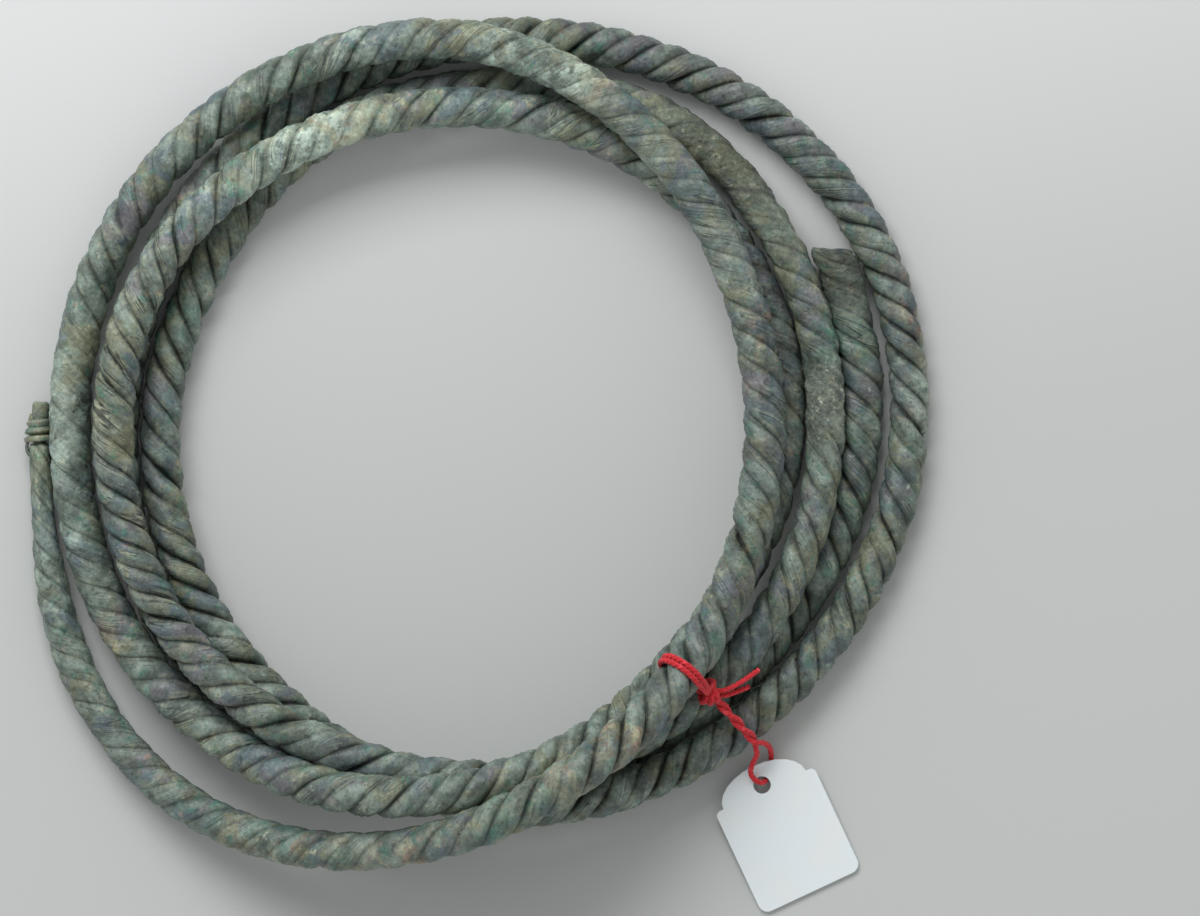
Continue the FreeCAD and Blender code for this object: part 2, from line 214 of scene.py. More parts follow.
# Pin in front of the bar, its radius along its length, and the flattened wire wound round it,
# which begins binding_offset from the bar and is wider there by a share of its radius
pin_diameter = 0.0021
pin_length = 0.007
pin_steps = 28
PIN_PROFILE = [
    (0.0, 0.00110), (0.0042, 0.00112), (0.0045, 0.00138), (0.0050, 0.00148), (0.0062, 0.00146),
    (0.0068, 0.00132), (0.0070, 0.00095),
]
binding_wire = 0.00095
binding_width_share = 1.5
binding_squareness = 6
binding_turns = 3
binding_pitch = 0.0012
points_per_turn = 8
wire_step = 0.0002
binding_offset = 0.0006
binding_flare = 0.28
pin_lean = math.radians(4)
# The loose end of the binding, in mm from the bar's shoulder: forwards, outwards, up
LOOSE_END = [
    (0.7, 1.3, 0.3), (0.3, 1.9, 0.2), (-0.6, 2.1, 0.1), (-1.6, 1.9, 0.1), (-2.3, 1.15, 0.3),
]
loose_wire = 0.00055
# Sides of the pin and of the wire, and the lead of a rod that is hardly twisted at all
round_sides = 16
straight_lead = 1

# Thread: three plies twisted together
thread_diameter = 0.0008
thread_lead = 0.0026
plies = 3
ply_depth = 0.28
ply_roundness = 0.7
thread_sides = 18
thread_step = 0.00011
# How thick the loop, the knot, the tails and the lead look, in thread diameters
loop_thickness = 1.28
knot_thickness = 1.42
tail_thickness = 1.12
lead_thickness = 1.2
# The loop: two strands that draw together at the knot, and the room it leaves round the bar
strand_spacing = 0.001
strands_at_knot = 0.3
loop_deg = 313.0
loop_corners = 6
loop_ease = 1.14
# The turn that the lead goes over, and where the hole lies from it
over_deg = 1393.0
hole_gap = 0.0069
hole_shift = -0.0022
# The knot's thread in mm from the knot's middle
KNOT_ROUTE = [
    (-1.5, 0.0, -0.5), (-1.5, -1.4, 0.3), (-0.8, -1.3, 1.3), (-0.5, 0.3, 1.4), (-0.5, 0.5, -0.5),
    (-0.1, -1.4, -0.6), (0.2, -1.6, 0.8), (0.4, -0.2, 1.5), (0.6, 0.5, 0.2), (0.8, -1.0, -0.6),
    (1.4, -1.2, 0.5), (1.1, -0.1, 1.3), (0.5, 0.9, 0.8), (0.7, 1.9, 0.2), (0.0, 2.3, 0.6),
    (-0.7, 1.8, 0.5), (-0.6, 0.9, 1.3), (0.1, 1.1, 1.6), (0.5, 1.7, 1.2), (0.0, 1.9, -0.2),
    (-0.7, 1.1, -0.2), (0.1, 0.4, 0.3),
]
# The tails in mm from the knot's middle
TAIL_ROUTES = [
    [(-0.1, 0.7, 0.5), (1.8, 0.3, 0.6), (3.8, 1.1, 0.6), (5.8, 2.3, 0.0), (8.2, 4.0, -1.2)],
    [(0.0, 0.2, -0.4), (1.9, -0.5, -0.3), (3.6, 0.0, -0.5), (5.2, 0.6, -1.2), (6.6, 1.2, -1.7)],
]
# The lead: from the knot's middle in mm, over the outer turn as shares of bar_diameter from
# its middle, from the hole's middle on the table in mm, and back
LEAD_START = [(-0.4, -0.1, -0.3)]
OVER_SHARES = [
    (-0.39, 0.50, 1.15), (0.16, -0.11, 0.77), (0.58, -0.60, 0.26),
]
LEAD_TAG = [
    (-1.4, 4.0, 4.5), (-2.1, 2.3, 3.4), (-1.4, 0.9, 2.6), (0.2, 0.2, 1.7), (0.9, 1.2, 0.2),
    (1.5, 2.9, 0.5), (1.6, 5.2, 0.9),
]
BACK_SHARES = [
    (0.87, -0.44, -0.31), (0.71, -0.36, 0.19), (0.27, 0.06, 0.73), (-0.23, 0.61, 1.14),
]
LEAD_END = [(0.3, 0.5, -0.3)]
# How far from the knot the lead's halves are twisted together, the share of that where they
# part, how tightly they are twisted, and how many points of their line lie between two corners
twist_reach = 0.0155
parting_share = 0.2
pair_lead = 0.0075
pair_spacing = 0.00088
lead_stride = 6

# Card tag
card_width = 0.0183
card_length = 0.0189
card_arch_height = 0.0045
card_shoulder = 0.0015
card_thickness = 0.00045
card_edge = 0.00006
card_corner = 0.0016
card_nip = 0.0009
arch_steps = 12
corner_steps = 4
hole_steps = 32
card_lift = 0.0001
card_tilt = math.radians(3.3)
card_turn = math.radians(25.1)
hole_diameter = 0.0029
hole_offset = 0.00095

# Tones
DEEP_GREEN = (0.100, 0.135, 0.112)
GREY_GREEN = (0.245, 0.312, 0.268)
OLIVE = (0.225, 0.235, 0.145)
SLATE_BLUE = (0.118, 0.158, 0.175)
SLATE_PURPLE = (0.172, 0.170, 0.185)
TEAL = (0.070, 0.215, 0.165)
RUST = (0.390, 0.225, 0.165)
KHAKI = (0.440, 0.420, 0.270)
MINT = (0.480, 0.600, 0.510)
CRUST = (0.400, 0.430, 0.340)
# The near-black tone of dirt and creases, also used for painted shade
DIRT_AND_SHADE = (0.020, 0.026, 0.022)
LIP = (0.380, 0.400, 0.290)
THREAD_DEEP = (0.40, 0.006, 0.012)
THREAD_BRIGHT = (0.88, 0.024, 0.042)
THREAD_PINK = (0.80, 0.060, 0.085)
CARD_WHITE = (0.84, 0.92, 0.95)
CARD_WARM = (0.87, 0.91, 0.91)
CARD_GREY = (0.72, 0.77, 0.80)
TABLE = (0.585, 0.605, 0.595)
# A lighter table tone, blended in as painted light
TABLE_PAINTED_LIGHT = (0.77, 0.785, 0.79)

# Blotches: the level of noise where each begins and is full, then how many to the metre, and
# their detail, roughness and distortion. A tone's patch blotches show where the bar is marked
BLOTCHES = {
    "green": (0.36, 0.64, 210, 4, 0.6, 0.3),
    "olive": (0.50, 0.62, 140, 4, 0.65),
    "olive patch": (0.32, 0.56, 210, 4, 0.6),
    "purple": (0.49, 0.61, 150, 3),
    "slate": (0.50, 0.60, 115, 5, 0.65, 0.6),
    "slate patch": (0.35, 0.58, 190, 4, 0.6),
    "teal": (0.56, 0.66, 290, 5, 0.7, 0.3),
    "teal patch": (0.46, 0.58, 230, 5, 0.65),
    "khaki": (0.45, 0.55, 400, 3),
    "rust": (0.60, 0.70, 330, 5, 0.7),
    "rust patch": (0.47, 0.58, 280, 4, 0.65),
    "pale": (0.62, 0.72, 520, 5, 0.75),
    "pale patch": (0.42, 0.56, 300, 5, 0.7),
    "crust": (0.36, 0.62, 900, 6, 0.78),
    "fold": (0.42, 0.56, 170, 3),
    "powder": (0.50, 0.60, 420, 4, 0.7),
    "powder tone": (0.46, 0.54, 90, 2),
    "edge": (0.46, 0.58, 260, 3, 0.6),
    "dark": (0.38, 0.56, 420, 5, 0.7),
    "specks": (0.58, 0.68, 1150, 4, 0.65),
    "faded thread": (0.55, 0.70, 900, 2),
    "card": (0.40, 0.70, 140, 4),
}
# Mottling: its values at the ends of MOTTLE_SPAN, then its noise in the same way
MOTTLES = {
    "packed": (0.15, 1.00, 310, 4, 0.6),
    "fine": (0.76, 1.24, 1700, 5, 0.7),
    "drawn": (0.84, 1.16, 620, 4, 0.6, 0.5),
    "broad": (0.68, 1.32, 330, 3, 0.6),
    "gloss": (0.28, 0.58, 260, 4, 0.6),
}
MOTTLE_SPAN = (0.33, 0.67)
# How strongly each layer shows
STRENGTHS = {
    "olive": 0.70, "slate": 0.80, "teal": 0.60, "rust": 0.55, "pale": 0.75, "crust": 0.80,
    "powder": 0.65, "edge": 0.75, "lip": 0.60, "crease": 0.65, "specks": 0.60, "dirt_and_shade": 0.90,
    "card": 0.35,
}
# Folds along the ridges: their noise, how far it is drawn out, and the level of the crease and
# of the lip beside it, with how near to that level each is full and where it ends
FOLD_NOISE = (170, 3, 0.6, 1.1)
fold_stretch = 0.30
CREASE = (0.5, 0.003, 0.020)
FOLD_LIP = (0.532, 0.004, 0.024)
# How deep in a groove powder and packed dirt begin and are full, and how strong the pale edges
# beside a groove are where there are no folds
POWDER_DEPTHS = (0.22, 0.70)
PACKED_DEPTHS = (0.45, 1.0)
least_edge = 0.25
# Painted light on a ridge's crest, the painted shade that a groove takes from it, and how much duller
# crust is
crest_painted_light = 1.08
groove_painted_shade = 0.72
crust_dullness = 0.25
# Bumps: the grain's noise and the facets', and how far facets, crust, lips and creases rise
GRAIN_NOISE = (800, 5, 0.65)
FACET_NOISE = (330, 2, 0.5)
RISES = (1.6, 2.2, 0.35, -0.55)
# The wire and the pin, which have no marks
wire_olive = 0.6
wire_light = 0.88
# Thread fibres and the card's grain
FIBRE_NOISE = (9000, 3, 0.6)
FIBRE_BAND = (0.35, 0.65)
fibre_stretch = 0.2
CARD_NOISE = (4200, 4, 0.7)
CARD_BAND = (0.55, 0.75)

# Stage: a table with painted light, brighter along one way between two distances, the camera
# over it, the window, and the room's light
table_size = 6
table_drop = 0.0002
PAINTED_LIGHT_WAY = (-0.20, 1.0, 0)
PAINTED_LIGHT_SPAN = (-0.02, 0.11)
camera_height = 3.0
camera_reach = 20
camera_sensor = 36
view_width = 0.2013
VIEW_MIDDLE = (0.0205, -0.0024)
WINDOW_PLACE = (-0.27, 0.69, 0.78)
window_width = 0.75
window_depth = 0.54
window_power = 7.9
light_from_sides = 0.86
light_from_above = 0.30

# Points on each curve between two places of its route
bar_fineness = 40
thread_fineness = 24


def deselect():
    """Nothing selected, so that the next operator acts on its own piece alone."""
    bpy.ops.object.select_all(action="DESELECT")


def places(piece):
    """Every vertex of a piece, as rows of x, y and z."""
    flat = np.empty(len(piece.data.vertices) * 3, np.float32)
    piece.data.vertices.foreach_get("co", flat)
    return flat.reshape(-1, 3).astype(float)


def set_places(piece, rows):
    """Move every vertex of a piece."""
    piece.data.vertices.foreach_set("co", np.asarray(rows, np.float32).ravel())
    piece.data.update()


def mark(piece, name, values, kind="FLOAT"):
    """Keep values on the vertices of a piece, for its material."""
    attribute = piece.data.attributes.new(name, kind, "POINT")
    field = "vector" if kind == "FLOAT_VECTOR" else "value"
    attribute.data.foreach_set(field, np.asarray(values, np.float32).ravel())


def select(pieces):
    """These pieces selected and no others, with the first one active."""
    deselect()
    for piece in pieces:
        piece.select_set(True)
    bpy.context.view_layer.objects.active = pieces[0]


def placed(name, data):
    """A new object in the scene, with its data."""
    made = bpy.data.objects.new(name, data)
    bpy.context.scene.collection.objects.link(made)
    return made


def apply(piece, modifier):
    """Apply one modifier of a piece."""
    select([piece])
    bpy.ops.object.modifier_apply(modifier=modifier.name)


def distances(rows):
    """How far along a row of points each one lies."""
    steps = np.linalg.norm(np.diff(rows, axis=0), axis=1)
    return np.concatenate([[0], np.cumsum(steps)])


def unit(rows):
    """Vectors in the last axis, each scaled to length 1."""
    return rows / np.linalg.norm(rows, axis=-1, keepdims=True)


def by_degrees(table, degrees):
    """Read a table of shares at some degrees along the coil."""
    rows = np.array(table)
    return np.interp(degrees, rows[:, 0], rows[:, 1])


def smooth_line(name, points):
    """A curve that runs smoothly through the points."""
    points = np.array(points)
    steps = np.linalg.norm(np.diff(points, axis=0), axis=1)
    count = len(points)
    system = np.zeros((count, count))
    target = np.zeros((count, 3))
    slopes = np.diff(points, axis=0) / steps[:, None]
    for i in range(1, count - 1):
        before = steps[i - 1]
        after = steps[i]
        system[i, i - 1:i + 2] = (after, 2 * (before + after), before)
        target[i] = 3 * (after * slopes[i - 1] + before * slopes[i])
    system[0, :2] = (2, 1)
    target[0] = 3 * slopes[0]
    system[-1, -2:] = (1, 2)
    target[-1] = 3 * slopes[-1]
    tangents = np.linalg.solve(system, target)
    curve = bpy.data.curves.new(name, "CURVE")
    curve.dimensions = "3D"
    curve.twist_mode = "MINIMUM"
    curve.resolution_u = bar_fineness
    spline = curve.splines.new("BEZIER")
    spline.bezier_points.add(count - 1)
    reach_back = np.concatenate([steps[:1], steps]) / 3
    reach_on = np.concatenate([steps, steps[-1:]]) / 3
    rows = zip(spline.bezier_points, points, tangents, reach_back, reach_on)
    for point, place, tangent, back, on in rows:
        point.handle_left_type = point.handle_right_type = "FREE"
        point.co = place
        point.handle_left = place - tangent * back
        point.handle_right = place + tangent * on
    return placed(name, curve)


def line_points(line):
    """The points that a curve without thickness runs through."""
    bpy.context.view_layer.update()
    shown = line.evaluated_get(bpy.context.evaluated_depsgraph_get())
    mesh = bpy.data.meshes.new_from_object(shown)
    rows = np.array([vertex.co for vertex in mesh.vertices])
    bpy.data.meshes.remove(mesh)
    return rows


def twisted_rod(name, outline, length, lead, steps):
    """A straight open rod along Z whose outline turns left-handed once every lead."""
    deselect()
    bpy.ops.mesh.primitive_circle_add(vertices=len(outline), radius=1)
    rod = bpy.context.object
    rod.name = name
    angles = np.array([row[0] for row in outline]) * 2 * math.pi
    reaches = np.array([row[1] for row in outline])
    set_places(rod, np.stack([reaches * np.cos(angles), reaches * np.sin(angles), 0 * angles], 1))
    twist = rod.modifiers.new("twist", "SCREW")
    twist.axis = "Z"
    twist.angle = -2 * math.pi * length / lead
    twist.screw_offset = length
    twist.steps = twist.render_steps = steps
    twist.use_smooth_shade = True
    apply(rod, twist)
    return rod


def close_ends(piece):
    """Close the open ends of a rod with one point each."""
    select([piece])
    bpy.ops.object.mode_set(mode="EDIT")
    bpy.ops.mesh.select_all(action="SELECT")
    bpy.ops.mesh.region_to_loop()
    bpy.ops.mesh.edge_face_add()
    bpy.ops.mesh.poke()
    bpy.ops.mesh.select_all(action="SELECT")
    bpy.ops.mesh.normals_make_consistent(inside=False)
    bpy.ops.object.mode_set(mode="OBJECT")
    bpy.ops.object.shade_smooth()


def bend(piece, line):
    """Bend a straight rod along a curve."""
    curl = piece.modifiers.new("bend", "CURVE")
    curl.object = line
    curl.deform_axis = "POS_Z"
    apply(piece, curl)


def coil_places():
    """The points of the bar's centre line."""
    points = []
    for degrees, reach_share, rise_share in COIL_SHARES:
        angle = math.radians(degrees)
        from_middle = (reach_share - middle_share) * radius_in_bars * bar_diameter
        reach = middle_share * coil_radius + from_middle
        place = Vector((reach * math.cos(angle), reach * math.sin(angle), rise_share * bar_diameter))
        points.append(tuple(place + coil_middle))
    return points


def unevenness(spots, size):
    """A smooth random number from -1 to 1 at each spot, in blotches of some size."""
    numbers = [noise.noise(Vector(spot) / size) for spot in spots.reshape(-1, 3)]
    return np.array(numbers).reshape(spots.shape[:-1])


def bar_outline():
    """The bar's outline, with how deep each of its points lies and how much of a lip it has."""
    outline = []
    depths = []
    lips = []
    for ridge in range(ridges):
        for place, depth in RIDGE_SHARES:
            outline.append(((ridge + place) / ridges, bar_diameter / 2))
            depths.append(depth)
            lips.append(math.exp(-((min(place, 1 - place) - lip_place) / lip_width) ** 2))
    return outline, np.array(depths), np.array(lips)


def twisted_bar(line):
    """The whole bar: three ridges that turn about it, uneven and corroded, bent into the coil."""
    travelled = distances(bar_rows)
    length = travelled[-1]
    outline, depths, lips = bar_outline()
    bar = twisted_rod("twisted_bar", outline, length, twist_lead, round(length / ring_step))
    sides = len(outline)
    rod = places(bar).reshape(-1, sides, 3)
    along = rod[:, :, 2]
    stop_degrees = [row[0] for row in COIL_SHARES]
    degrees = np.interp(along[:, 0], travelled[::bar_fineness], stop_degrees)

    # The bar before it is twisted, which is where its folds and the swelling of its grooves lie
    turn = np.array([row[0] for row in outline]) * 2 * math.pi
    lay = rod.copy()
    lay[:, :, 0] = np.cos(turn) * bar_diameter / 2
    lay[:, :, 1] = np.sin(turn) * bar_diameter / 2
    swell = unevenness(lay, swell_size)

    # Turn each ring further where the ridges lie closer together, and let them wander
    tighter = 1 / by_degrees(SPACING_SHARES, degrees) - 1
    wound = np.concatenate([[0], np.cumsum(tighter[1:] * np.diff(along[:, 0]))])
    strained = unevenness(np.outer(along[:, 0], (0, 0, 1)), wander_size)
    drift = (twist_wander * strained - wound * 2 * math.pi / twist_lead)[:, None]
    x = rod[:, :, 0].copy()
    y = rod[:, :, 1].copy()
    rod[:, :, 0] = x * np.cos(drift) - y * np.sin(drift)
    rod[:, :, 1] = x * np.sin(drift) + y * np.cos(drift)
    spot = rod.copy()

    # Sink the grooves, and dent and pit the surface
    rough = by_degrees(ROUGH_SHARES, degrees)[:, None]
    dents = dent_share * (1 + rough) * unevenness(spot, dent_size)
    pits = pit_share * rough * unevenness(spot + 1, pit_size)
    groove = by_degrees(GROOVE_SHARES, degrees)[:, None] * depths
    deep = groove * groove_depth * 2 / bar_diameter
    thickness = by_degrees(THICKNESS_SHARES, degrees)[:, None]
    share = crest_share * thickness * (1 + dents + pits - deep * (1 + groove_swell * swell))
    rod[:, :, :2] *= share[:, :, None]
    rod[0, :, :2] *= first_share
    set_places(bar, rod.reshape(-1, 3))

    mark(bar, "lay", lay, "FLOAT_VECTOR")
    mark(bar, "spot", spot, "FLOAT_VECTOR")
    shown = {
        "groove": groove * (1 + dirt_and_shade_swell * swell),
        "edge": lips,
        "fold": by_degrees(FOLD_SHARES, degrees)[:, None],
        "light": by_degrees(LIGHT_SHARES, degrees)[:, None],
    }
    for name, values in shown.items():
        mark(bar, name, np.broadcast_to(values, along.shape))
    roughen(bar, *BAR_GRAIN)
    bend(bar, line)
    mark_patches(bar, degrees, sides)
    break_end(bar, sides)

    # The table flattens what would reach below it
    low = places(bar)
    low[:, 2] = np.maximum(low[:, 2], 0.0)
    set_places(bar, low)
    close_ends(bar)
    return bar


def mark_patches(bar, degrees, sides):
    """Mark on the bent bar how strongly each tone's patches show."""
    rows = places(bar).reshape(-1, sides, 3)
    middles = rows.mean(axis=1, keepdims=True)
    away = unit((middles - np.array(coil_middle)) * (1, 1, 0))
    outside = ((rows - middles) * away).sum(axis=2) / (bar_diameter / 2)
    for tone, patches in PATCHES.items():
        weight = np.zeros(outside.shape)
        for middle, reach, strength, side in patches:
            near = strength * np.exp(-((degrees - middle) / reach) ** 2)[:, None]
            facing = np.clip(0.5 + side_fade * side * outside, 0, 1) if side else 1.0
            weight = np.maximum(weight, near * facing)
        mark(bar, tone, weight)


def break_end(bar, sides):
    """Push the last rings of the bar back onto a slanted, notched break."""
    rows = places(bar).reshape(-1, sides, 3)
    last = rows[-end_rings:]
    foot = last[0].mean(axis=0)
    tip = last[-1].mean(axis=0)
    length = np.linalg.norm(tip - foot)
    axis = unit(tip - foot)
    across = np.cross(axis, UP)
    normal = np.array(Matrix.Rotation(end_slant, 3, "Z") @ Vector(axis))
    for ring in last:
        behind = (ring - foot) @ axis
        side = ((ring - foot) @ across) / (bar_diameter / 2)
        reach = behind + ((tip - axis * end_trim - ring) @ normal) / (axis @ normal)
        reach -= notch_depth * np.exp(-((side - notch_place) / notch_width) ** 2)
        reach += crumble_depth * unevenness(ring * (1, 1, 0) + 3, crumble_size)
        ring += np.outer(behind * (reach / length - 1), axis)
    rim = last[-len(END_SHARES):]
    for ring, size in zip(rim, END_SHARES):
        core = ring.mean(axis=0)
        ring[:] = core + (ring - core) * size
    rim[0] += (rim[1] - rim[0]) * rim_pull
    set_places(bar, rows.reshape(-1, 3))


def pin(line_start, forward):
    """The thin pin in front of the bar, with its round head."""
    outline = [(side / round_sides, 1) for side in range(round_sides)]
    stem = twisted_rod("pin", outline, pin_length, straight_lead, pin_steps)
    rows = places(stem).reshape(-1, round_sides, 3)
    reach = np.interp(rows[:, 0, 2], *np.array(PIN_PROFILE).T)
    rows[:, :, :2] *= reach[:, None, None]
    set_places(stem, rows.reshape(-1, 3))
    stem.data.transform(upright(line_start, forward))
    roughen(stem, *PIN_GRAIN)
    close_ends(stem)
    return stem


def upright(place, direction):
    """The move that puts +Z of a straight piece along direction, from place."""
    turn = Vector(direction).to_track_quat("Z", "Y").to_matrix().to_4x4()
    return Matrix.Translation(place) @ turn


def roughen(piece, height, grain):
    """Raise and sink a surface a little, as corrosion does."""
    clouds = bpy.data.textures.new(piece.name + "_grain", "CLOUDS")
    clouds.noise_scale = grain
    clouds.noise_depth = 3
    bumps = piece.modifiers.new("corrosion", "DISPLACE")
    bumps.texture = clouds
    bumps.texture_coords = "LOCAL"
    bumps.strength = height
    bumps.mid_level = 0.5
    apply(piece, bumps)


def wire_binding(shoulder, forward):
    """Three turns of wire round the pin, which open towards the bar, and the wire's loose end."""
    radius = (pin_diameter + binding_wire) / 2
    out = UP.cross(forward)
    base = shoulder + forward * binding_offset
    points = []
    for number in range(points_per_turn * binding_turns + 1):
        turned = number / points_per_turn
        angle = 2 * math.pi * turned
        away = out * math.cos(angle) + UP * math.sin(angle)
        spread = radius * (1 + binding_flare * (1 - turned / binding_turns))
        points.append(tuple(base + away * spread + forward * (binding_pitch * turned)))
    turns = wound_wire("wire_binding", smooth_line("binding_line", points), binding_wire)
    loose = []
    for ahead, outward, up in LOOSE_END:
        loose.append(tuple(shoulder + (forward * ahead + out * outward + UP * up) / 1000))
    hook = wound_wire("loose_end", smooth_line("loose_line", loose), loose_wire)
    return joined("wire_binding", [turns, hook])


def wound_wire(name, line, width):
    """A wire along a line, squared by wear and corrosion. The line is used up."""
    outline = []
    for side in range(round_sides):
        angle = 2 * math.pi * side / round_sides
        across = abs(math.cos(angle)) ** binding_squareness
        up = abs(math.sin(angle)) ** binding_squareness
        reach = width / 2 / (across + up) ** (1 / binding_squareness)
        outline.append((side / round_sides, reach))
    length = distances(line_points(line))[-1]
    wire = twisted_rod(name, outline, length, straight_lead, round(length / wire_step))
    rows = places(wire)
    rows[:, 1] *= binding_width_share
    set_places(wire, rows)
    bend(wire, line)
    bpy.data.objects.remove(line)
    roughen(wire, *WIRE_GRAIN)
    close_ends(wire)
    return wire


def thread_route(name, points):
    """The smooth line of a thread whose corners are the points."""
    curve = bpy.data.curves.new(name, "CURVE")
    curve.dimensions = "3D"
    curve.resolution_u = thread_fineness
    spline = curve.splines.new("NURBS")
    spline.points.add(len(points) - 1)
    for control, place in zip(spline.points, points):
        control.co = (*place, 1)
    spline.order_u = 3
    spline.use_endpoint_u = True
    return placed(name, curve)


def spun(name, line, diameter):
    """One thread of three twisted plies along a line, which is used up."""
    length = distances(line_points(line))[-1]
    outline = []
    for side in range(thread_sides):
        swell = abs(math.cos(plies * math.pi * side / thread_sides)) ** ply_roundness
        outline.append((side / thread_sides, diameter / 2 * (1 - ply_depth + ply_depth * swell)))
    strand = twisted_rod(name, outline, length, thread_lead, round(length / thread_step))
    mark(strand, "lay", places(strand), "FLOAT_VECTOR")
    bend(strand, line)
    bpy.data.objects.remove(line)
    close_ends(strand)
    return strand


def thread(name, points, diameter):
    """One thread whose route has its corners at the points."""
    return spun(name, thread_route(name + "_route", points), diameter)


def halves_twisted(rows):
    """The lead's points, with the halves on both sides of the tag twisted together near the knot."""
    went = distances(rows)
    left = went[-1] - went
    turned = rows.copy()
    for side, travelled, other in ((1, went, left), (-1, left, went)):
        near = np.flatnonzero(travelled < twist_reach)
        order = np.argsort(other)
        partner = [np.interp(travelled[near], other[order], rows[order, axis]) for axis in range(3)]
        middle = (rows[near] + np.stack(partner, 1)) / 2
        along = unit(np.gradient(middle, axis=0) * side)
        across = unit(np.cross(along, UP))
        above = np.cross(across, along)
        angle = (2 * math.pi * travelled[near] / pair_lead)[:, None]
        aside = across * np.cos(angle) + above * np.sin(angle)
        twisted = middle + side * pair_spacing / 2 * aside
        fade = (twist_reach - travelled[near]) / (parting_share * twist_reach)
        fade = np.clip(fade, 0, 1)[:, None]
        fade = fade * fade * (3 - 2 * fade)
        turned[near] = rows[near] * (1 - fade) + twisted * fade
    return turned


def joined(name, pieces):
    """Several threads or wires as one piece."""
    select(pieces)
    bpy.ops.object.join()
    pieces[0].name = name
    return pieces[0]


def bar_place(degrees):
    """The bar's middle at some degrees along the coil, its direction and the way outwards."""
    stops = np.array([row[0] for row in COIL_SHARES])
    row = np.interp(degrees, stops, np.arange(len(stops))) * bar_fineness
    before = int(row)
    middle = Vector(bar_rows[before]).lerp(Vector(bar_rows[before + 1]), row - before)
    along = (Vector(bar_rows[before + 1]) - Vector(bar_rows[before])).normalized()
    outward = along.cross(UP).normalized()
    return middle, along, outward


def route(anchor, table, length=0.001):
    """The points of a table of places, from an anchor and in shares of a length."""
    return [anchor + Vector(row) * length for row in table]


def thread_loop(knot):
    """Two threads side by side, from the knot round the bar and back."""
    middle, along = bar_place(loop_deg)[:2]
    strands = []
    for side in (-1, 1):
        shift = along * (side * strand_spacing / 2)
        toward = knot - middle
        toward = (toward - along * toward.dot(along)).normalized()
        aside = along.cross(toward)
        reach = (bar_diameter * loop_ease + thread_diameter) / 2 / math.cos(math.pi / loop_corners)
        points = [knot + shift * strands_at_knot]
        for number in range(1, loop_corners):
            angle = 2 * math.pi * number / loop_corners
            away = toward * math.cos(angle) + aside * math.sin(angle)
            points.append(middle + shift + away * reach)
        points.append(knot + shift * strands_at_knot)
        strands.append(thread("loop_strand", points, thread_diameter * loop_thickness))
    return joined("thread_loop_strands", strands)


def arc(x, y, wide, high, start, end, steps):
    """Points on an ellipse round x and y, from one angle to another in quarter turns."""
    angles = [math.pi / 2 * (start + (end - start) * step / steps) for step in range(steps + 1)]
    return [(x + wide * math.cos(angle), y + high * math.sin(angle)) for angle in angles]


def outlined_card(hole_place):
    """The card tag, cut from thin card with a round hole, then laid in its place."""
    side = card_width / 2
    top = -hole_offset
    foot = top - card_length
    outline = arc(0, top, side - card_shoulder, card_arch_height, 0, 2, arch_steps)
    corners = [
        (card_nip - side, top - card_nip, card_nip, 1),
        (card_corner - side, foot + card_corner, card_corner, 2),
        (side - card_corner, foot + card_corner, card_corner, 3),
        (side - card_nip, top - card_nip, card_nip, 0),
    ]
    for x, y, reach, start in corners:
        outline += arc(x, y, reach, reach, start, start + 1, corner_steps)
    hole = arc(0, 0, hole_diameter / 2, hole_diameter / 2, 0, 4, hole_steps)[:-1]
    flat = bpy.data.curves.new("card_outline", "CURVE")
    flat.dimensions = "2D"
    flat.fill_mode = "BOTH"
    flat.extrude = card_thickness / 2 - card_edge
    flat.bevel_depth = card_edge
    flat.bevel_resolution = 1
    flat.offset = -card_edge
    for loop in (outline, hole):
        spline = flat.splines.new("POLY")
        spline.points.add(len(loop) - 1)
        for point, (x, y) in zip(spline.points, loop):
            point.co = (x, y, 0, 1)
        spline.use_cyclic_u = True
    sheet = placed("card", flat)
    select([sheet])
    bpy.ops.object.convert(target="MESH")
    sheet = bpy.context.object
    rise = card_lift - foot * math.sin(card_tilt)
    lie = Matrix.Translation((hole_place.x, hole_place.y, rise)) @ Matrix.Rotation(card_turn, 4, "Z")
    lie = lie @ Matrix.Rotation(card_tilt, 4, "X") @ Matrix.Translation((0, 0, card_thickness / 2))
    sheet.data.transform(lie)
    return sheet


def feed(tree, made, inputs):
    """Give a node its inputs. Each is a value, or the output of another node."""
    for name, value in inputs.items():
        if isinstance(value, bpy.types.NodeSocket):
            tree.links.new(value, made.inputs[name])
        else:
            made.inputs[name].default_value = value


def node(tree, kind, inputs=None, **settings):
    """A shader node with its inputs and settings."""
    made = tree.nodes.new(kind)
    for name, value in settings.items():
        setattr(made, name, value)
    feed(tree, made, inputs or {})
    return made


def cloud(tree, where, scale, detail=4, roughness=0.55, distortion=0.0):
    """Soft blotches about 1 / scale metres wide."""
    inputs = {"Vector": where, "Scale": scale, "Detail": detail, "Roughness": roughness,
              "Distortion": distortion}
    return node(tree, "ShaderNodeTexNoise", inputs).outputs["Fac"]


def band(tree, value, low, high):
    """0 below low, 1 above high, and a soft step between them."""
    inputs = {"Value": value, "From Min": low, "From Max": high}
    return node(tree, "ShaderNodeMapRange", inputs, interpolation_type="SMOOTHSTEP").outputs["Result"]


def sums(tree, operation, first, second, clamp=False):
    """One sum on two numbers."""
    inputs = {0: first, 1: second}
    return node(tree, "ShaderNodeMath", inputs, operation=operation, use_clamp=clamp).outputs[0]


def product(tree, *parts):
    """Several numbers multiplied."""
    total = parts[0]
    for part in parts[1:]:
        total = sums(tree, "MULTIPLY", total, part)
    return total


